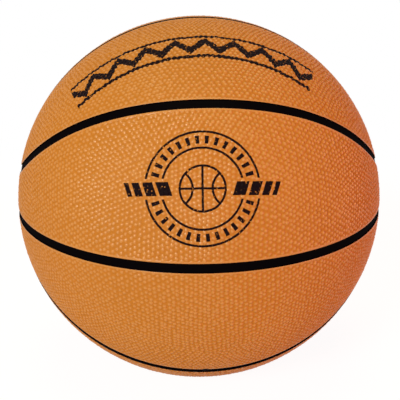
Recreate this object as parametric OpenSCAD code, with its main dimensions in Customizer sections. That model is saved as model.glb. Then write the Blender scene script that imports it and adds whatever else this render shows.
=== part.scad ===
// Basketball of eight cover panels glued to a wound, air-filled carcass.
// The origin is the ball's centre. The level seam lies in the plane of X and Y, and the upright seam
// in the plane of X and Z. The photographed side faces -Y, and the valve is on that side, below.

/* [Ball] */
// Diameter over the pebbles
ball_d = 223; // [180:1:250]
// Thickness of a cover panel, with its pebbles
panel_t = 1.6; // [1.4:0.1:3]
// Thickness of the rubber carcass under the panels
carcass_t = 0.5; // [0.4:0.1:1.5]
// Thickness of the wound nylon thread
winding_t = 0.4; // [0.2:0.1:1]
// Thickness of the bladder's wall
bladder_t = 0.5; // [0.4:0.1:1.5]

/* [Seams] */
// Width of the black seam strips
seam_w = 5; // [4.2:0.1:7]
// How far a strip's face lies below the pebble tops
seam_depth = 0.8; // [0.5:0.1:1]
// Latitude of the seam loops where they cross the sides of the ball
waist_angle = 11.5; // [9:0.1:18]
// Latitude of the seam loops at the front and the back
crown_angle = 44.4; // [38:0.1:47]
// How far the loops bulge out between the sides and the front, as a share of their rise
loop_bulge_share = 0.4; // [0:0.05:0.5]

/* [Panel face] */
// How far the pebbled field stands above the panel's smooth border
pebble_h = 0.3; // [0.1:0.05:0.5]
// Width of the smooth border beside each seam
border_w = 1.1; // [0.5:0.1:3]

/* [Valve] */
// Diameter of the plug's head, flush in the seam strip
plug_d = 3.8; // [3.2:0.1:4.2]
// Diameter of the plug's locking bead
bead_d = 5.4; // [4.8:0.1:6]
// Height of the locking bead
bead_h = 1.6; // [1:0.1:2]
// Diameter of the hole that grips an inflating needle
needle_d = 2; // [1.6:0.1:2.2]
// Depth of the needle's hole below the plug's face
needle_depth = 8; // [6:0.1:8]
// Thickness of the plug's slit end, below the needle's hole
slit_t = 1.6; // [1:0.1:2]
// Diameter of the seat's well
well_d = 7.6; // [7:0.1:9]
// Thickness of the seat's floor
well_floor_t = 0.8; // [0.5:0.1:1.5]
// Diameter of the air hole in the seat's floor
air_hole_d = 1.2; // [0.8:0.1:2]
// Diameter of the seat's flange on the bladder
flange_d = 24; // [18:1:32]
// Thickness of the seat's flange
flange_t = 0.8; // [0.5:0.1:1.5]

/* [Hidden] */

$fn = 144;
panel_colour = "#D98A45";
seam_colour = "#1A1719";
carcass_colour = "#2A2624";
winding_colour = "#D8D2C0";
bladder_colour = "#3A3436";
valve_colour = "#151314";

ball_r = ball_d / 2;
border_r = ball_r - pebble_h;
strip_r = ball_r - seam_depth;
carcass_r = ball_r - panel_t;
winding_r = carcass_r - carcass_t;
bladder_r = winding_r - winding_t;
bladder_inner_r = bladder_r - bladder_t;
flange_r = bladder_inner_r - flange_t;
half_seam = seam_w / 2;
// The cutting profiles reach past the ball by this share of its radius
reach_share = 1.4;
reach = reach_share * ball_r;

// Seen from the side, along X, each loop rises from its waist in the middle to its crown at the outline
loop_waist = ball_r * sin(waist_angle);
loop_crown = ball_r * sin(crown_angle);
loop_rise = loop_crown - loop_waist;
crown_out = ball_r * cos(crown_angle);
loop_steps = 48;
// The loop's profile runs this much further than the ball's outline
loop_reach_share = 1.3;
loop_end = loop_reach_share * crown_out;

// Square of the way out to the crown, as a share
function way(y) = pow(y / crown_out, 2);
function loop_height(y) = loop_waist + loop_rise * way(y) * (1 + loop_bulge_share * (1 - way(y)));
function loop_slope(y) = 2 * loop_rise * y / pow(crown_out, 2) * (1 + loop_bulge_share * (1 - 2 * way(y)));
// Share of the ball's outward direction in the profile's normal
function lean(y) = (loop_height(y) - y * loop_slope(y)) / (ball_r * sqrt(1 + pow(loop_slope(y), 2)));
// A point beside the loop, off millimetres away as measured over the ball's surface
function beside_loop(y, off) =
    let (slope = loop_slope(y), run = sqrt(1 + slope * slope), step = off * sqrt(1 - pow(lean(y), 2)))
    [y - step * slope / run, loop_height(y) + step / run];

// Places on the valve's axis, as distances from the ball's centre
plug_end_r = strip_r - needle_depth - slit_t;
bead_top_r = plug_end_r + bead_h;
well_end_r = plug_end_r - well_floor_t;

// Everything inside the loop, seen along X
module inside_loop(off) {
    edge = [for (i = [-loop_steps : loop_steps]) beside_loop(loop_end * i / loop_steps, off)];
    polygon(concat(edge, [[reach, reach], [-reach, reach]]));
}

// The front upper quarter, seen along X, clear of the straight seams
module quarter(off) {
    translate([-reach, off]) square([reach - off, reach - off]);
}

module middle_section(off) {
    difference() {
        quarter(off);
        inside_loop(-off);
    }
}

module cap_section(off) {
    intersection() {
        quarter(off);
        inside_loop(off);
    }
}

// Runs a profile drawn in Y and Z along X, to both sides or to the right only
module along_x(both = true) {
    rotate([90, 0, 90]) linear_extrude(height = both ? 2 * reach : reach, center = both) children();
}

module layer(outer_r, inner_r) {
    difference() {
        sphere(r = outer_r);
        sphere(r = inner_r);
    }
}

module strip_layer() {
    layer(strip_r, carcass_r);
}

// Turns a shape that stands along +Z to point out through the valve, in the middle of the lower loop
module at_valve() {
    rotate([90 + crown_angle, 0, 0]) children();
}

// A round piece on the valve's axis between two distances from the ball's centre
module valve_round(d, from_r, to_r) {
    at_valve() translate([0, 0, from_r]) cylinder(d = d, h = to_r - from_r);
}

module middle_panel() {
    color(panel_colour) difference() {
        intersection() {
            layer(ball_r, carcass_r);
            along_x() middle_section(half_seam);
        }
        difference() {
            layer(reach, border_r);
            along_x() middle_section(half_seam + border_w);
        }
    }
}

module cap_panel() {
    color(panel_colour) difference() {
        intersection() {
            layer(ball_r, carcass_r);
            along_x() cap_section(half_seam);
        }
        difference() {
            layer(reach, border_r);
            along_x() cap_section(half_seam + border_w);
        }
    }
}

module loop_strip() {
    intersection() {
        strip_layer();
        along_x() difference() {
            inside_loop(-half_seam);
            inside_loop(half_seam);
        }
    }
}

module crossing_arc() {
    color(seam_colour) intersection() {
        strip_layer();
        along_x() intersection() {
            translate([-half_seam, 0]) square([seam_w, reach]);
            inside_loop(half_seam);
        }
    }
}

module side_arc() {
    color(seam_colour) intersection() {
        strip_layer();
        along_x(both = false) difference() {
            translate([-half_seam, half_seam]) square([seam_w, reach]);
            inside_loop(-half_seam);
        }
    }
}

module below() {
    mirror([0, 0, 1]) children();
}

module behind() {
    mirror([0, 1, 0]) children();
}

module leftward() {
    mirror([1, 0, 0]) children();
}

module bladder() {
    color(bladder_colour) difference() {
        layer(bladder_r, bladder_inner_r);
        valve_round(well_d, flange_r, ball_r);
    }
}

module valve_seat() {
    color(valve_colour) difference() {
        union() {
            intersection() {
                layer(bladder_inner_r, flange_r);
                valve_round(flange_d, well_end_r, ball_r);
            }
            intersection() {
                sphere(r = carcass_r);
                valve_round(well_d, well_end_r, ball_r);
            }
        }
        valve_round(plug_d, plug_end_r, ball_r);
        valve_round(bead_d, plug_end_r, bead_top_r);
        valve_round(air_hole_d, well_end_r - well_floor_t, ball_r);
    }
}

module valve_plug() {
    color(valve_colour) difference() {
        union() {
            valve_round(plug_d, plug_end_r, strip_r);
            valve_round(bead_d, plug_end_r, bead_top_r);
        }
        valve_round(needle_d, strip_r - needle_depth, ball_r);
    }
}

module nylon_winding() {
    color(winding_colour) difference() {
        layer(winding_r, bladder_r);
        valve_round(well_d, flange_r, ball_r);
    }
}

module carcass() {
    color(carcass_colour) difference() {
        layer(carcass_r, winding_r);
        valve_round(well_d, flange_r, ball_r);
    }
}

module panel_front_upper_middle() { middle_panel(); }
module panel_front_upper_cap() { cap_panel(); }
module panel_front_lower_middle() { below() middle_panel(); }
module panel_front_lower_cap() { below() cap_panel(); }
module panel_back_upper_middle() { behind() middle_panel(); }
module panel_back_upper_cap() { behind() cap_panel(); }
module panel_back_lower_middle() { behind() below() middle_panel(); }
module panel_back_lower_cap() { behind() below() cap_panel(); }

module seam_level_ring() {
    color(seam_colour) intersection() {
        strip_layer();
        translate([-reach, -reach, -half_seam]) cube([2 * reach, 2 * reach, seam_w]);
    }
}

module seam_upper_loop() {
    color(seam_colour) loop_strip();
}

module seam_lower_loop() {
    color(seam_colour) difference() {
        below() loop_strip();
        valve_round(plug_d, plug_end_r, ball_r);
    }
}

module seam_top_arc() { crossing_arc(); }
module seam_bottom_arc() { below() crossing_arc(); }
module seam_right_upper_arc() { side_arc(); }
module seam_right_lower_arc() { below() side_arc(); }
module seam_left_upper_arc() { leftward() side_arc(); }
module seam_left_lower_arc() { leftward() below() side_arc(); }

bladder();
valve_seat();
valve_plug();
nylon_winding();
carcass();
panel_front_upper_middle();
panel_front_upper_cap();
panel_front_lower_middle();
panel_front_lower_cap();
panel_back_upper_middle();
panel_back_upper_cap();
panel_back_lower_middle();
panel_back_lower_cap();
seam_level_ring();
seam_upper_loop();
seam_lower_loop();
seam_top_arc();
seam_bottom_arc();
seam_right_upper_arc();
seam_right_lower_arc();
seam_left_upper_arc();
seam_left_lower_arc();
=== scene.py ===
import math
import time

import bpy
import numpy as np
from mathutils import Matrix, Vector
from mathutils.kdtree import KDTree


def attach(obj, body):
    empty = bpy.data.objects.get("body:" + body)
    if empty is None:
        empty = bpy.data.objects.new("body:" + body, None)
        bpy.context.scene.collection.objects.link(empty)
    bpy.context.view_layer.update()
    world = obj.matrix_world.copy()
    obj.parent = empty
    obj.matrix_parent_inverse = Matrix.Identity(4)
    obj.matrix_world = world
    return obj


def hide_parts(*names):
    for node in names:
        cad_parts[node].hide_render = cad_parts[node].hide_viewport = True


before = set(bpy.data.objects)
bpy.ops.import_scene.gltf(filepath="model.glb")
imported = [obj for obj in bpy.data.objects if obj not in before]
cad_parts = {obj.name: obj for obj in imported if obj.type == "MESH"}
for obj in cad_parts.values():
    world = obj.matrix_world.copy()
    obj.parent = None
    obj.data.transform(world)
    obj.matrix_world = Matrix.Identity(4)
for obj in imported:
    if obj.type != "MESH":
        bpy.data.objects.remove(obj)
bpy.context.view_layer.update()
startTime = time.time()


def stage(words):
    print(f"{time.time() - startTime:6.1f} s  {words}")


# all lengths in metres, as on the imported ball
ball = {
    "radius": 0.1115,
    "seamWidth": 0.005,
    "panelThickness": 0.0016,
    "waistAngle": 11.5,  # degrees above the level seam, where a loop crosses the sides
    "crownAngle": 44.4,  # degrees above the level seam, at the front and the back
    "loopBulge": 0.4,  # how much fuller than a parabola a loop is on its way up
    "leanLimit": 0.9,  # keeps a loop's stretch finite just past the front and the back
}

pebble = {
    "rows": 50,  # along each edge of the icosahedron that the lattice starts from
    "turn": 30,  # degrees, seen from the front
    "cuts": 4,
    "height": 0.0007,
    "heightChange": 0.25,  # the lowest pebbles are this share lower
    "spread": 0.54,  # radius of the widest pebbles, as a share of the pitch
    "spreadChange": 0.14,
    "roundness": 1.2,
    "jitter": 0.00038,
    "sway": 0.0006,  # how far the rows wander
    "swayLength": 0.034,
    "overlap": 0.004,  # how far a quarter reaches past its seams before it is cut
    "seed": 5,
}

lip = {
    "cuts": (0.0002, 0.0005, 0.0011),  # rows of points along the seam
    "pebblesFrom": 0.001,  # from the seam's edge, where the pebbles start to rise
    "pebblesTo": 0.0015,
    "paintedEdge": 0.0002,  # black rubber runs up the wall and over this much of the lip
    "lowerLoopPaint": 0.0011,  # and over this much of it below the lower loop
    "depth": 0.0002,  # below the pebble tops
    "edgeDrop": 0.0002,  # how far the lip rounds down at its edge
    "rounding": 0.0005,
    "wallDepth": 0.00105,  # below the pebble tops, just under the seam's face
    "toneAndShade": 0.6,  # its place between the valleys' painted shade and the pebble tops' painted highlight
}

touching = 0.00001  # points nearer than this are taken as one
millimetres = 1000  # in a metre
halfSeam = ball["seamWidth"] / 2
waist = ball["radius"] * math.sin(math.radians(ball["waistAngle"]))
crown = ball["radius"] * math.sin(math.radians(ball["crownAngle"]))
crownOut = ball["radius"] * math.cos(math.radians(ball["crownAngle"]))

# from the ball's centre to the photograph's camera
view = {
    "back": (-0.0412, -0.9429, 0.3305),
    "up": (0.0194, 0.33, 0.9438),
    "distance": 4.746,  # in ball radii
    "nearest": 0.01,
    "lens": 75.54,
    "sensor": 36,
    "shiftX": 0.00275,
    "shiftY": -0.0096,
}


def addCamera():
    back = Vector(view["back"]).normalized()
    right = Vector(view["up"]).cross(back).normalized()
    up = back.cross(right)
    bpy.ops.object.camera_add(location=back * view["distance"] * ball["radius"])
    camera = bpy.context.object
    camera.rotation_euler = Matrix((right, up, back)).transposed().to_euler()
    camera.data.lens = view["lens"]
    camera.data.sensor_width = view["sensor"]
    camera.data.shift_x = view["shiftX"]
    camera.data.shift_y = view["shiftY"]
    camera.data.clip_start = view["nearest"]
    bpy.context.scene.camera = camera


def only(piece):
    bpy.ops.object.select_all(action="DESELECT")
    piece.select_set(True)
    bpy.context.view_layer.objects.active = piece


def startEdit(piece, everything=True):
    only(piece)
    bpy.ops.object.mode_set(mode="EDIT")
    bpy.ops.mesh.select_all(action="SELECT" if everything else "DESELECT")


def endEdit():
    bpy.ops.object.mode_set(mode="OBJECT")


def points(piece):
    flat = np.empty(len(piece.data.vertices) * 3)
    piece.data.vertices.foreach_get("co", flat)
    return flat.reshape(-1, 3)


def movePoints(piece, places):
    piece.data.vertices.foreach_set("co", np.ascontiguousarray(places).ravel())
    piece.data.update()


def onSphere(places, radius):
    lengths = np.linalg.norm(places, axis=1, keepdims=True)
    return places * (np.asarray(radius).reshape(-1, 1) / lengths)


# The upper loop's height over the level seam's plane
def loopHeight(y):
    way = (y / crownOut) ** 2
    return waist + (crown - waist) * way * (1 + ball["loopBulge"] * (1 - way))


# How far a step away from a loop leans out of the loop's own profile
def loopStretch(y):
    way = (y / crownOut) ** 2
    slope = 2 * (crown - waist) * y / crownOut**2 * (1 + ball["loopBulge"] * (1 - 2 * way))
    lean = (loopHeight(y) - y * slope) / (ball["radius"] * np.sqrt(1 + slope**2))
    return np.sqrt(1 + slope**2) * np.sqrt(1 - np.minimum(lean, ball["leanLimit"]) ** 2)


# Distance from the upper loop's middle line, over the surface
def fromLoop(places):
    y = places[:, 1]
    return (places[:, 2] - loopHeight(y)) / loopStretch(y)


def flattenLoop(piece):
    places = points(piece)
    places[:, 2] = fromLoop(places)
    movePoints(piece, places)


def restoreLoop(piece, radius):
    places = points(piece)
    y = places[:, 1]
    places[:, 2] = loopHeight(y) + places[:, 2] * loopStretch(y)
    movePoints(piece, onSphere(places, radius))


def cut(piece, place, direction, clear=False):
    startEdit(piece)
    bpy.ops.mesh.bisect(plane_co=place, plane_no=direction, clear_inner=clear, threshold=touching)
    endEdit()


# Bends straight rows into slow curves
def sway(places):
    dice = np.random.default_rng(pebble["seed"])
    for direction in np.eye(3):
        wave = dice.normal(size=3)
        wave *= 2 * math.pi / pebble["swayLength"] / np.linalg.norm(wave)
        push = np.sin(places @ wave + dice.uniform(0, 2 * math.pi))
        places = places + pebble["sway"] * push[:, None] * direction
    return places


# An icosahedron divided into even triangles, with a pebble at each corner
def pebbleLattice():
    bpy.ops.mesh.primitive_ico_sphere_add(subdivisions=1, radius=1)
    lattice = bpy.context.object
    corners = points(lattice) @ np.array(Matrix.Rotation(math.radians(pebble["turn"]), 3, "Y"))
    movePoints(lattice, corners)
    faces = corners[[list(face.vertices) for face in lattice.data.polygons]]
    startEdit(lattice)
    bpy.ops.mesh.subdivide(number_cuts=pebble["rows"] - 1)
    endEdit()
    # spread the rows evenly over the sphere
    places = points(lattice)
    own = (places @ faces.mean(1).T).argmax(1)
    shares = np.einsum("ni,nij->nj", places, np.linalg.inv(faces)[own])
    edgeAngle = math.acos(np.clip(faces[0][0] @ faces[0][1], -1, 1))
    movePoints(lattice, np.einsum("nj,nji->ni", np.sin(shares * edgeAngle), faces[own]))
    movePoints(lattice, onSphere(points(lattice), ball["radius"]))
    startEdit(lattice)
    bpy.ops.transform.vertex_random(
        offset=pebble["jitter"], uniform=1, normal=0, seed=pebble["seed"]
    )
    endEdit()
    movePoints(lattice, onSphere(sway(points(lattice)), ball["radius"]))
    return lattice


# Keeps the part of a surface in the front upper quarter, with a little beyond its seams
def keepQuarter(piece, beyond):
    cut(piece, (0, beyond, 0), (0, -1, 0), clear=True)
    cut(piece, (0, 0, -beyond), (0, 0, 1), clear=True)


# Cuts one panel's outline out of the quarter, with extra rows along its lip
def cutPanel(piece, cap, radius, offsets):
    side = 1 if cap else -1
    for offset in offsets:
        cut(piece, (0, -halfSeam - offset, 0), (0, -1, 0), clear=offset == 0)
        if not cap:
            cut(piece, (0, 0, halfSeam + offset), (0, 0, 1), clear=offset == 0)
    flattenLoop(piece)
    for offset in offsets:
        cut(piece, (0, 0, side * (halfSeam + offset)), (0, 0, side), clear=offset == 0)
    restoreLoop(piece, radius)


# Distance from the nearest seam's edge
def fromEdge(places, cap):
    loopSide = fromLoop(places) if cap else -fromLoop(places)
    nearest = np.minimum(-places[:, 1], loopSide)
    if not cap:
        nearest = np.minimum(nearest, places[:, 2])
    return np.maximum(nearest - halfSeam, 0)


def smooth(low, high, value):
    share = np.clip((value - low) / (high - low), 0, 1)
    return share * share * (3 - 2 * share)


# The second material slot is the black edge
def blacken(piece, edge, width):
    faces = piece.data.polygons
    slots = np.zeros(len(faces), np.int32)
    faces.foreach_get("material_index", slots)
    corners = np.array([face.vertices[:3] for face in faces])
    slots[(edge[corners] < width + touching).all(axis=1)] = 1
    faces.foreach_set("material_index", slots)


# Mean distance between neighbouring pebbles
def pebblePitch():
    count = 10 * pebble["rows"] ** 2 + 2
    share = 4 * math.pi * ball["radius"] ** 2 / count
    return math.sqrt(share * 2 / math.sqrt(3))


def raisePebbles(piece, cap, centres):
    tree = KDTree(len(centres))
    for index, place in enumerate(centres):
        tree.insert(place, index)
    tree.balance()
    places = points(piece)
    found = [tree.find(place)[1:] for place in places]
    own = np.array([index for index, away in found])
    away = np.array([away for index, away in found]) / pebblePitch()
    dice = np.random.default_rng(pebble["seed"])
    spread = pebble["spread"] * (1 - pebble["spreadChange"] * dice.random(len(centres)))[own]
    tall = (1 - pebble["heightChange"] * dice.random(len(centres)))[own]
    dome = np.clip(1 - (away / spread) ** 2, 0, 1) ** pebble["roundness"] * tall
    edge = fromEdge(places, cap)
    field = smooth(lip["pebblesFrom"], lip["pebblesTo"], edge)
    drop = lip["edgeDrop"] * np.clip(1 - edge / lip["rounding"], 0, 1) ** 2
    height = pebble["height"] * (dome - 1) * field - lip["depth"] * (1 - field) - drop
    relief = piece.data.attributes.new("relief", "FLOAT", "POINT")
    relief.data.foreach_set("value", dome * field + lip["toneAndShade"] * (1 - field))
    blacken(piece, edge, lip["paintedEdge"])
    movePoints(piece, onSphere(places, ball["radius"] + height))


# Turns the wall down at the panel's rim and closes the panel with its inner face
def closePanel(piece, inner):
    startEdit(piece)
    bpy.ops.mesh.region_to_loop()
    bpy.ops.mesh.extrude_edges_move()
    endEdit()
    rim = np.zeros(len(piece.data.vertices), bool)
    piece.data.vertices.foreach_get("select", rim)
    places = points(piece)
    places[rim] = onSphere(places[rim], ball["radius"] - lip["wallDepth"])
    movePoints(piece, places)
    only(inner)
    startEdit(inner)
    bpy.ops.mesh.flip_normals()
    bpy.ops.mesh.region_to_loop()
    endEdit()
    bpy.ops.object.select_all(action="DESELECT")
    inner.select_set(True)
    piece.select_set(True)
    bpy.context.view_layer.objects.active = piece
    bpy.ops.object.join()
    bpy.ops.object.mode_set(mode="EDIT")
    bpy.ops.mesh.select_mode(type="EDGE")
    bpy.ops.mesh.bridge_edge_loops()
    bpy.ops.mesh.select_all(action="SELECT")
    bpy.ops.mesh.quads_convert_to_tris()
    endEdit()
    only(piece)
    bpy.ops.object.shade_smooth()


def copyOf(piece):
    only(piece)
    bpy.ops.object.duplicate()
    return bpy.context.object


def makePanel(quarter, lattice, cap, name, rubbers):
    centres = points(lattice)
    panel = copyOf(quarter)
    for rubber in rubbers:
        panel.data.materials.append(rubber)
    cutPanel(panel, cap, ball["radius"], (0,) + lip["cuts"])
    raisePebbles(panel, cap, centres)
    innerRadius = ball["radius"] - ball["panelThickness"]
    inner = copyOf(lattice)
    inner.data.materials.append(rubbers[0])
    cutPanel(inner, cap, ball["radius"], (0,))
    movePoints(inner, onSphere(points(inner), innerRadius))
    closePanel(panel, inner)
    panel.name = name
    stage(f"{name}: {len(panel.data.polygons)} triangles")
    return panel


def mirrored(piece, name, factors):
    copy = copyOf(piece)
    movePoints(copy, points(copy) * factors)
    if np.prod(factors) < 0:
        startEdit(copy)
        bpy.ops.mesh.flip_normals()
        endEdit()
    copy.name = name
    return copy


# Each panel has two materials, its own and that of its black edge
def makePanels(rubbers):
    lattice = pebbleLattice()
    keepQuarter(lattice, pebble["overlap"])
    quarter = copyOf(lattice)
    startEdit(quarter)
    bpy.ops.mesh.subdivide(number_cuts=pebble["cuts"])
    endEdit()
    movePoints(quarter, onSphere(points(quarter), ball["radius"]))
    stage(f"quarter: {len(quarter.data.polygons)} triangles")
    panels = {}
    for kind, cap in (("middle", False), ("cap", True)):
        first = makePanel(quarter, lattice, cap, f"front_upper_{kind}_panel", rubbers)
        panels[f"panel_front_upper_{kind}"] = first
        for where, factors in (
            ("front_lower", (1, 1, -1)),
            ("back_upper", (1, -1, 1)),
            ("back_lower", (1, -1, -1)),
        ):
            panels[f"panel_{where}_{kind}"] = mirrored(first, f"{where}_{kind}_panel", factors)
    lowerCap = panels["panel_front_lower_cap"]
    places = onSphere(points(lowerCap), ball["radius"]) * (1, 1, -1)
    blacken(lowerCap, fromLoop(places) - halfSeam, lip["lowerLoopPaint"])
    bpy.data.objects.remove(lattice)
    bpy.data.objects.remove(quarter)
    return panels


# all colours are linear; noise scales are per metre
cover = {
    # the valleys' colour is painted darker as shade and the pebble tops' lighter as a painted
    # highlight
    "shaded": (0.585, 0.223, 0.028, 1),
    "top": (0.685, 0.298, 0.0515, 1),
    "shadingFrom": 0.1,  # relief at which the valleys' painted shade starts to turn into the tops' painted highlight
    "shadingTo": 1.0,
    "mottle": 0.1,  # how much the tone drifts over some centimetres
    "mottleScale": 38,
    "speck": 0.4,  # how much it changes from pebble to pebble
    "speckScale": 460,
    "speckDetail": 1,
    "roughFrom": 0.1,  # relief at which the valleys' roughness starts to turn into the tops'
    "roughTo": 0.8,
    "valleyRoughness": 0.6,
    "topRoughness": 0.3,
    "grainScale": 2600,
    "grainDetail": 3,
    "grainDepth": 0.00001,
    "grainRoughness": 0.1,
    "specular": 0.03,
    "shineFrom": 0.15,
    "shineTo": 0.7,
    "valleyShine": 0.1,  # as a share of the tops'
    "shine": 0.22,  # the pebble tops are rubbed glossy
    "shineRoughness": 0.27,
    "shineIor": 2.4,
}

ink = {
    "colour": (0.008, 0.003, 0.004, 1),
    "low": 0.35,  # the printing pad misses the valleys where the noise is under this
    "high": 0.4,
    "valleyReach": 0.2,  # how much relief helps the pad to reach
    "wearScale": 1000,
    "wobble": 0.35,  # millimetres
    "wobbleScale": 300,
    "roughness": 0.5,
    "shine": 0.005,
}

# millimetres from the middle of the print, seen square on
roundel = {
    "outward": (-0.022, -0.931, 0.365),
    "outerRing": 28.9,
    "innerRing": 20.6,
    "halfLine": 0.58,
    "ringGap": 5.2,
    "tickFrom": 22.7,
    "tickTo": 26.8,
    "ticks": 32,
    "tickShare": 0.2,  # half a tick's width, as a share of the spacing
    "ballRing": 11.5,
    "ballArc": 9.6,
    "ballArcOut": 14.6,
    "barHalfHeight": 3.5,
    "barSlant": 0.32,
    "bars": ((16.2, 22.6), (24.2, 29.4), (31, 34.8), (36.4, 38.8)),
}

# millimetres over the crown, along the top seam
capBand = {
    "fromSeam": 44,
    "halfHeight": 8.6,
    "halfLine": 1.1,
    "zigzag": 4,
    "zigzagHalfLine": 3,
    "pitch": 16,
    "middle": -0.06,  # radians from the crown
    "halfLength": 0.7,
    "radius": 102.2,
}


def newMaterial(name):
    material = bpy.data.materials.new(name)
    material.use_nodes = True
    return material, material.node_tree, material.node_tree.nodes["Principled BSDF"]


def plug(tree, socket, value):
    if isinstance(value, bpy.types.NodeSocket):
        tree.links.new(value, socket)
    else:
        socket.default_value = value


def calc(tree, operation, *values):
    node = tree.nodes.new("ShaderNodeMath")
    node.operation = operation
    for socket, value in zip(node.inputs, values):
        plug(tree, socket, value)
    return node.outputs[0]


def total(tree, masks):
    added = masks[0]
    for mask in masks[1:]:
        added = calc(tree, "MAXIMUM", added, mask)
    return added


def along(tree, vector, direction):
    node = tree.nodes.new("ShaderNodeVectorMath")
    node.operation = "DOT_PRODUCT"
    plug(tree, node.inputs[0], vector)
    plug(tree, node.inputs[1], direction)
    return node.outputs["Value"]


def objectPlace(tree):
    return tree.nodes.new("ShaderNodeTexCoord").outputs["Object"]


def noise(tree, vector, scale, detail=2.0):
    node = tree.nodes.new("ShaderNodeTexNoise")
    plug(tree, node.inputs["Vector"], vector)
    plug(tree, node.inputs["Scale"], scale)
    node.inputs["Detail"].default_value = detail
    return node


def ramp(tree, value, low, high, outLow=0.0, outHigh=1.0):
    node = tree.nodes.new("ShaderNodeMapRange")
    node.interpolation_type = "SMOOTHSTEP"
    for socket, setting in zip(node.inputs, (value, low, high, outLow, outHigh)):
        plug(tree, socket, setting)
    return node.outputs["Result"]


def blend(tree, share, first, second, mode="MIX"):
    node = tree.nodes.new("ShaderNodeMix")
    node.data_type = "RGBA"
    node.blend_type = mode
    plug(tree, node.inputs["Factor"], share)
    plug(tree, node.inputs["A"], first)
    plug(tree, node.inputs["B"], second)
    return node.outputs["Result"]


def bump(tree, height, depth):
    node = tree.nodes.new("ShaderNodeBump")
    plug(tree, node.inputs["Height"], height)
    node.inputs["Distance"].default_value = depth
    return node.outputs["Normal"]


def newGroup(name, inputs, outputs):
    group = bpy.data.node_groups.new(name, "ShaderNodeTree")
    for inOut, sockets in (("INPUT", inputs), ("OUTPUT", outputs)):
        for socket, kind in sockets.items():
            group.interface.new_socket(name=socket, in_out=inOut, socket_type=f"NodeSocket{kind}")
    given = group.nodes.new("NodeGroupInput").outputs
    out = group.nodes.new("NodeGroupOutput").inputs
    return group, given, out


def placeGroup(tree, group, settings):
    node = tree.nodes.new("ShaderNodeGroup")
    node.node_tree = group
    for socket, value in settings.items():
        plug(tree, node.inputs[socket], value)
    return node.outputs


# Tone, gloss and grain of pebbled rubber, from the height that the mesh carries; the colour is
# painted darker in the valleys as shade and lighter on the tops as a highlight
def makePebbledShadeAndTone():
    group, given, out = newGroup(
        "pebbledShadeAndTone",
        {"Shaded": "Color", "Top": "Color", "Mottle": "Float", "Speck": "Float"},
        {
            "Colour": "Color",
            "Relief": "Float",
            "Shine": "Float",
            "Roughness": "Float",
            "Normal": "Vector",
        },
    )
    place = objectPlace(group)
    attribute = group.nodes.new("ShaderNodeAttribute")
    attribute.attribute_name = "relief"
    relief = attribute.outputs["Fac"]
    drift = calc(group, "SUBTRACT", noise(group, place, cover["mottleScale"]).outputs["Fac"], 0.5)
    speck = noise(group, place, cover["speckScale"], cover["speckDetail"]).outputs["Fac"]
    speck = calc(group, "SUBTRACT", speck, 0.5)
    grain = noise(group, place, cover["grainScale"], cover["grainDetail"]).outputs["Fac"]
    # painted shade and highlight: darker in the valleys, lighter on the pebble tops, plus random
    # drift and specks
    toneAndShade = ramp(group, relief, cover["shadingFrom"], cover["shadingTo"])
    toneAndShade = calc(group, "MULTIPLY_ADD", speck, given["Speck"], toneAndShade)
    toneAndShade = calc(group, "MULTIPLY_ADD", drift, given["Mottle"], toneAndShade)
    plug(group, out["Colour"], blend(group, toneAndShade, given["Shaded"], given["Top"]))
    plug(group, out["Relief"], relief)
    shine = ramp(group, relief, cover["shineFrom"], cover["shineTo"], cover["valleyShine"], 1.0)
    plug(group, out["Shine"], shine)
    rough = (cover["valleyRoughness"], cover["topRoughness"])
    gloss = ramp(group, relief, cover["roughFrom"], cover["roughTo"], *rough)
    gloss = calc(group, "MULTIPLY_ADD", grain, cover["grainRoughness"], gloss)
    plug(group, out["Roughness"], gloss)
    plug(group, out["Normal"], bump(group, grain, cover["grainDepth"]))
    return group


def squares(tree, first, second):
    return calc(
        tree, "ADD", calc(tree, "MULTIPLY", first, first), calc(tree, "MULTIPLY", second, second)
    )


# A ring of ticks round a plain ball, with slanted bars to both sides
def roundelMask(tree, place):
    outward = Vector(roundel["outward"]).normalized()
    right = Vector((0, 0, 1)).cross(outward).normalized() * -1
    up = right.cross(outward)
    u = along(tree, place, right * millimetres)
    v = along(tree, place, up * millimetres)
    line = roundel["halfLine"]
    far = calc(tree, "SQRT", squares(tree, u, v))
    turn = calc(tree, "DIVIDE", calc(tree, "ARCTAN2", v, u), 2 * math.pi / roundel["ticks"])
    tick = calc(tree, "COMPARE", calc(tree, "FRACT", turn), 0.5, roundel["tickShare"])
    middle = (roundel["tickFrom"] + roundel["tickTo"]) / 2
    belt = calc(tree, "COMPARE", far, middle, roundel["tickTo"] - middle)
    tick = calc(tree, "MULTIPLY", tick, belt)
    rings = [calc(tree, "COMPARE", far, roundel[ring], line) for ring in ("outerRing", "innerRing")]
    clear = calc(tree, "GREATER_THAN", calc(tree, "ABSOLUTE", v), roundel["ringGap"])
    dial = calc(tree, "MULTIPLY", total(tree, rings + [tick]), clear)
    side = calc(tree, "ABSOLUTE", u)
    arcSide = calc(tree, "SUBTRACT", side, roundel["ballArcOut"])
    arcFar = calc(tree, "SQRT", squares(tree, arcSide, v))
    seams = [
        calc(tree, "COMPARE", u, 0.0, line),
        calc(tree, "COMPARE", v, 0.0, line),
        calc(tree, "COMPARE", arcFar, roundel["ballArc"], line),
    ]
    inside = calc(tree, "LESS_THAN", far, roundel["ballRing"])
    small = calc(tree, "MULTIPLY", total(tree, seams), inside)
    ring = calc(tree, "COMPARE", far, roundel["ballRing"], line)
    slanted = calc(tree, "MULTIPLY_ADD", v, -roundel["barSlant"], side)
    bars = [calc(tree, "COMPARE", slanted, (a + b) / 2, (b - a) / 2) for a, b in roundel["bars"]]
    level = calc(tree, "COMPARE", v, 0.0, roundel["barHalfHeight"])
    return total(tree, [dial, small, ring, calc(tree, "MULTIPLY", total(tree, bars), level)])


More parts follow.
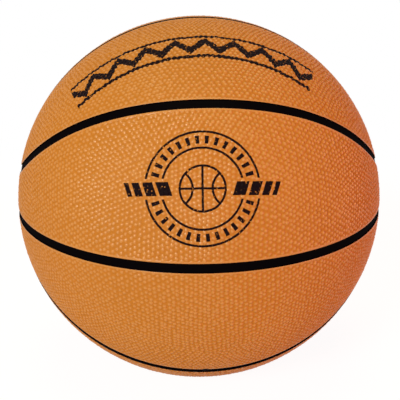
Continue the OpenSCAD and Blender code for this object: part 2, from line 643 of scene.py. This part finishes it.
# A zigzag between two lines, level with the top seam
def bandMask(tree, place):
    x, y, z = (along(tree, place, axis * millimetres) for axis in Matrix.Identity(3))
    up = calc(tree, "ADD", y, capBand["fromSeam"])
    angle = calc(tree, "SUBTRACT", calc(tree, "ARCTAN2", x, z), capBand["middle"])
    over = calc(tree, "MULTIPLY", angle, capBand["radius"])
    height = calc(tree, "ABSOLUTE", up)
    edges = calc(tree, "COMPARE", height, capBand["halfHeight"], capBand["halfLine"])
    half = capBand["pitch"] / 2
    wave = calc(tree, "SUBTRACT", calc(tree, "PINGPONG", over, half), half / 2)
    wave = calc(tree, "MULTIPLY", wave, 2 * capBand["zigzag"] / half)
    zigzag = calc(tree, "COMPARE", up, wave, capBand["zigzagHalfLine"])
    zigzag = calc(tree, "MULTIPLY", zigzag, calc(tree, "LESS_THAN", height, capBand["halfHeight"]))
    ends = calc(tree, "COMPARE", angle, 0.0, capBand["halfLength"])
    return calc(tree, "MULTIPLY", total(tree, [edges, zigzag]), ends)


# black rubber round the valve's mouth, in metres
valveSpot = {"place": (0, -0.0797, -0.078), "radius": 0.0038, "fade": 0.0002}


def valveMask(tree, place):
    away = tree.nodes.new("ShaderNodeVectorMath")
    away.operation = "DISTANCE"
    plug(tree, away.inputs[0], place)
    away.inputs[1].default_value = valveSpot["place"]
    far = away.outputs["Value"]
    return ramp(tree, far, valveSpot["radius"] - valveSpot["fade"], valveSpot["radius"], 1.0, 0.0)


def makeCoverRubber(name, toneAndShade, printMask=None):
    material, tree, shader = newMaterial(name)
    # colours for the valleys' painted shade and the tops' painted highlight, with the tone's random
    # drift and specks
    given = {name.title(): cover[name] for name in ("shaded", "top", "mottle", "speck")}
    made = placeGroup(tree, toneAndShade, given)
    colour, roughness = made["Colour"], made["Roughness"]
    shine = calc(tree, "MULTIPLY", made["Shine"], cover["shine"])
    if printMask:
        place = objectPlace(tree)
        shake = noise(tree, place, ink["wobbleScale"]).outputs["Color"]
        move = tree.nodes.new("ShaderNodeVectorMath")
        move.operation = "MULTIPLY_ADD"
        plug(tree, move.inputs[0], shake)
        move.inputs[1].default_value = [ink["wobble"] / millimetres] * 3
        plug(tree, move.inputs[2], place)
        mask = printMask(tree, move.outputs["Vector"])
        wear = noise(tree, place, ink["wearScale"]).outputs["Fac"]
        held = calc(tree, "MULTIPLY_ADD", made["Relief"], ink["valleyReach"], wear)
        mask = calc(tree, "MULTIPLY", mask, ramp(tree, held, ink["low"], ink["high"]))
        colour = blend(tree, mask, colour, ink["colour"])
        roughness = ramp(tree, mask, 0.0, 1.0, roughness, ink["roughness"])
        shine = ramp(tree, mask, 0.0, 1.0, shine, ink["shine"])
    plug(tree, shader.inputs["Base Color"], colour)
    plug(tree, shader.inputs["Roughness"], roughness)
    plug(tree, shader.inputs["Coat Weight"], shine)
    plug(tree, shader.inputs["Normal"], made["Normal"])
    shader.inputs["Specular IOR Level"].default_value = cover["specular"]
    shader.inputs["Coat Roughness"].default_value = cover["shineRoughness"]
    shader.inputs["Coat IOR"].default_value = cover["shineIor"]
    return material


# change is how much the colour varies
plainRubbers = {
    "seamRubber": {
        "colour": (0.002, 0.0014, 0.002, 1),
        "change": 0.3,
        "grainScale": 900,
        "grainDepth": 0.00002,
        "roughness": 0.5,
        "specular": 0,
        "shine": 0.02,
    },
    "carcassRubber": {
        "colour": (0.032, 0.026, 0.022, 1),
        "change": 0.5,
        "grainScale": 500,
        "grainDepth": 0.00006,
        "roughness": 0.7,
        "specular": 0.4,
        "shine": 0,
    },
    "bladderRubber": {
        "colour": (0.024, 0.02, 0.022, 1),
        "change": 0.4,
        "grainScale": 160,
        "grainDepth": 0.00004,
        "roughness": 0.42,
        "specular": 0.5,
        "shine": 0,
    },
    "valveRubber": {
        "colour": (0.004, 0.0034, 0.004, 1),
        "change": 0.4,
        "grainScale": 1400,
        "grainDepth": 0.00003,
        "roughness": 0.55,
        "specular": 0.05,
        "shine": 0.06,
    },
}

grainLook = {
    "detail": 4,
    "cloudScale": 0.08,  # as a share of the grain's scale
    "cloudDetail": 3,
    "roughness": 0.15,  # how much the grain adds
}

winding = {
    "light": (0.66, 0.6, 0.47, 1),
    "dark": (0.36, 0.31, 0.22, 1),
    "threads": 900,  # per metre
    "depth": 0.00015,
    "wander": 3.0,  # threads that a turn strays to its sides
    "wanderScale": 60,
    "patchScale": 45,  # where one course lies over the others
    "patchStep": 10,
    "shadeFrom": 0.1,
    "shadeTo": 0.45,
    "roughness": 0.55,
    "sheen": 0.3,
    # the axes that the thread runs round
    "courses": ((0.2, 0.9, 0.4), (0.9, -0.3, 0.35), (-0.45, 0.3, 0.85)),
}


# Uneven tone and a fine moulded grain
def makeRubberGrain():
    group, given, out = newGroup(
        "rubberGrain",
        {"Colour": "Color", "Change": "Float", "Scale": "Float", "Roughness": "Float"},
        {"Colour": "Color", "Roughness": "Float", "Height": "Float"},
    )
    place = objectPlace(group)
    grain = noise(group, place, given["Scale"], grainLook["detail"]).outputs["Fac"]
    cloudScale = calc(group, "MULTIPLY", given["Scale"], grainLook["cloudScale"])
    cloud = noise(group, place, cloudScale, grainLook["cloudDetail"]).outputs["Fac"]
    lift = calc(group, "MULTIPLY_ADD", calc(group, "SUBTRACT", cloud, 0.5), given["Change"], 1.0)
    tint = group.nodes.new("ShaderNodeVectorMath")
    tint.operation = "SCALE"
    plug(group, tint.inputs[0], given["Colour"])
    plug(group, tint.inputs["Scale"], lift)
    plug(group, out["Colour"], tint.outputs["Vector"])
    rough = calc(group, "MULTIPLY_ADD", grain, grainLook["roughness"], given["Roughness"])
    plug(group, out["Roughness"], rough)
    plug(group, out["Height"], grain)
    return group


def makePlainRubber(name, grain):
    look = plainRubbers[name]
    material, tree, shader = newMaterial(name)
    given = {
        "Colour": look["colour"],
        "Change": look["change"],
        "Scale": look["grainScale"],
        "Roughness": look["roughness"],
    }
    made = placeGroup(tree, grain, given)
    plug(tree, shader.inputs["Base Color"], made["Colour"])
    plug(tree, shader.inputs["Roughness"], made["Roughness"])
    plug(tree, shader.inputs["Normal"], bump(tree, made["Height"], look["grainDepth"]))
    shader.inputs["Specular IOR Level"].default_value = look["specular"]
    shader.inputs["Coat Weight"].default_value = look["shine"]
    shader.inputs["Coat Roughness"].default_value = look["roughness"] / 2
    return material


# Turns of thread round several axes, the highest course on top
def makeWindingThread():
    material, tree, shader = newMaterial("windingThread")
    place = objectPlace(tree)
    courses = []
    for index, axis in enumerate(winding["courses"]):
        step = along(tree, place, Vector(axis).normalized() * winding["threads"])
        shift = noise(tree, place, winding["wanderScale"]).outputs["Fac"]
        step = calc(tree, "MULTIPLY_ADD", shift, winding["wander"], step)
        turn = calc(tree, "PINGPONG", step, 0.5)
        patchScale = winding["patchScale"] + winding["patchStep"] * index
        patch = noise(tree, place, patchScale).outputs["Fac"]
        courses.append(calc(tree, "MULTIPLY", calc(tree, "SQRT", turn), patch))
    height = total(tree, courses)
    shade = ramp(tree, height, winding["shadeFrom"], winding["shadeTo"])
    plug(tree, shader.inputs["Base Color"], blend(tree, shade, winding["dark"], winding["light"]))
    plug(tree, shader.inputs["Normal"], bump(tree, height, winding["depth"]))
    shader.inputs["Roughness"].default_value = winding["roughness"]
    shader.inputs["Sheen Weight"].default_value = winding["sheen"]
    return material


studio = {
    "lampDistance": 1.2,
    "world": 0.22,
    "worldColour": (1, 0.46, 0.46, 1),
}

# azimuth from the front and elevation in degrees; strength 1 lights a facing surface fully
lamps = {
    "keyLight": {
        "azimuth": -31,
        "elevation": 22,
        "strength": 0.535,
        "size": 0.3,
        "colour": (1, 1, 0.95),
    },
    "sideLight": {
        "azimuth": 68,
        "elevation": 5,
        "strength": 0.367,
        "size": 0.5,
        "colour": (1, 0.3, 0.3),
    },
    "topLight": {
        "azimuth": 0,
        "elevation": 90,
        "strength": 0.32,
        "size": 0.7,
        "colour": (1, 0.98, 0.53),
    },
}

ground = {
    "size": 6,
    "colour": (0.85, 0.81, 0.8, 1),
    "roughness": 0.9,
    "glow": 1.14,  # what the camera sees of the floor is part paint, part glow
    "glowShare": 0.82,
    "fadeFrom": 0.24,  # from here out the floor turns into the plain backdrop
    "fadeTo": 0.6,
}


# 1 for rays that come from the camera, a mirror or glass
def seenRays(tree):
    path = tree.nodes.new("ShaderNodeLightPath").outputs
    return total(tree, [path[f"Is {kind} Ray"] for kind in ("Camera", "Glossy", "Transmission")])


def addLights():
    world = bpy.data.worlds.new("studio")
    bpy.context.scene.world = world
    world.use_nodes = True
    tree = world.node_tree
    background = tree.nodes["Background"]
    seen = seenRays(tree)
    plug(tree, background.inputs["Color"], blend(tree, seen, studio["worldColour"], (1, 1, 1, 1)))
    plug(tree, background.inputs["Strength"], ramp(tree, seen, 0.0, 1.0, studio["world"], 1.0))
    for name, lamp in lamps.items():
        turn, rise = math.radians(lamp["azimuth"]), math.radians(lamp["elevation"])
        level = math.cos(rise)
        place = Vector((math.sin(turn) * level, -math.cos(turn) * level, math.sin(rise)))
        bpy.ops.object.light_add(type="AREA", location=place * studio["lampDistance"])
        light = bpy.context.object
        light.name = name
        light.data.size = lamp["size"]
        light.data.energy = lamp["strength"] * (math.pi * studio["lampDistance"]) ** 2
        light.data.color = lamp["colour"]
        light.rotation_euler = place.to_track_quat("Z", "Y").to_euler()


def addFloor():
    bpy.ops.mesh.primitive_plane_add(size=ground["size"], location=(0, 0, -ball["radius"]))
    floor = bpy.context.object
    floor.name = "floor"
    material, tree, shader = newMaterial("floorWhite")
    shader.inputs["Base Color"].default_value = ground["colour"]
    shader.inputs["Roughness"].default_value = ground["roughness"]
    shader.inputs["Specular IOR Level"].default_value = 0.0
    glow = tree.nodes.new("ShaderNodeEmission")
    length = tree.nodes.new("ShaderNodeVectorMath")
    length.operation = "LENGTH"
    plug(tree, length.inputs[0], objectPlace(tree))
    far = ramp(tree, length.outputs["Value"], ground["fadeFrom"], ground["fadeTo"])
    plug(tree, glow.inputs["Strength"], ramp(tree, far, 0.0, 1.0, ground["glow"], 1.0))
    mix = tree.nodes.new("ShaderNodeMixShader")
    share = ramp(tree, far, 0.0, 1.0, ground["glowShare"], 1.0)
    plug(tree, mix.inputs["Fac"], calc(tree, "MULTIPLY", share, seenRays(tree)))
    plug(tree, mix.inputs[1], shader.outputs["BSDF"])
    plug(tree, mix.inputs[2], glow.outputs["Emission"])
    plug(tree, tree.nodes["Material Output"].inputs["Surface"], mix.outputs["Shader"])
    floor.data.materials.append(material)


bpy.context.scene.view_settings.view_transform = "Standard"
addCamera()
addLights()
addFloor()
stage("camera, lights and floor")

pebbledShadeAndTone = makePebbledShadeAndTone()
plainCover = makeCoverRubber("coverRubber", pebbledShadeAndTone)
valveCover = makeCoverRubber("coverRubberValve", pebbledShadeAndTone, valveMask)
printedCovers = {
    "panel_front_upper_middle": makeCoverRubber("coverRubberRoundel", pebbledShadeAndTone, roundelMask),
    "panel_front_upper_cap": makeCoverRubber("coverRubberBand", pebbledShadeAndTone, bandMask),
    "panel_front_lower_middle": valveCover,
    "panel_front_lower_cap": valveCover,
}
rubberGrain = makeRubberGrain()
nodeMaterials = {
    "seam": makePlainRubber("seamRubber", rubberGrain),
    "carcass": makePlainRubber("carcassRubber", rubberGrain),
    "bladder": makePlainRubber("bladderRubber", rubberGrain),
    "valve": makePlainRubber("valveRubber", rubberGrain),
    "nylon": makeWindingThread(),
}
stage("materials")

for node, panel in makePanels((plainCover, nodeMaterials["seam"])).items():
    if node in printedCovers:
        panel.data.materials[0] = printedCovers[node]
    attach(panel, "root")
    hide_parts(node)
for node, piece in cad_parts.items():
    kind = node.split("_")[0]
    if kind in nodeMaterials:
        for held in piece.material_slots:
            held.material = nodeMaterials[kind]
stage("pieces ride on the ball")
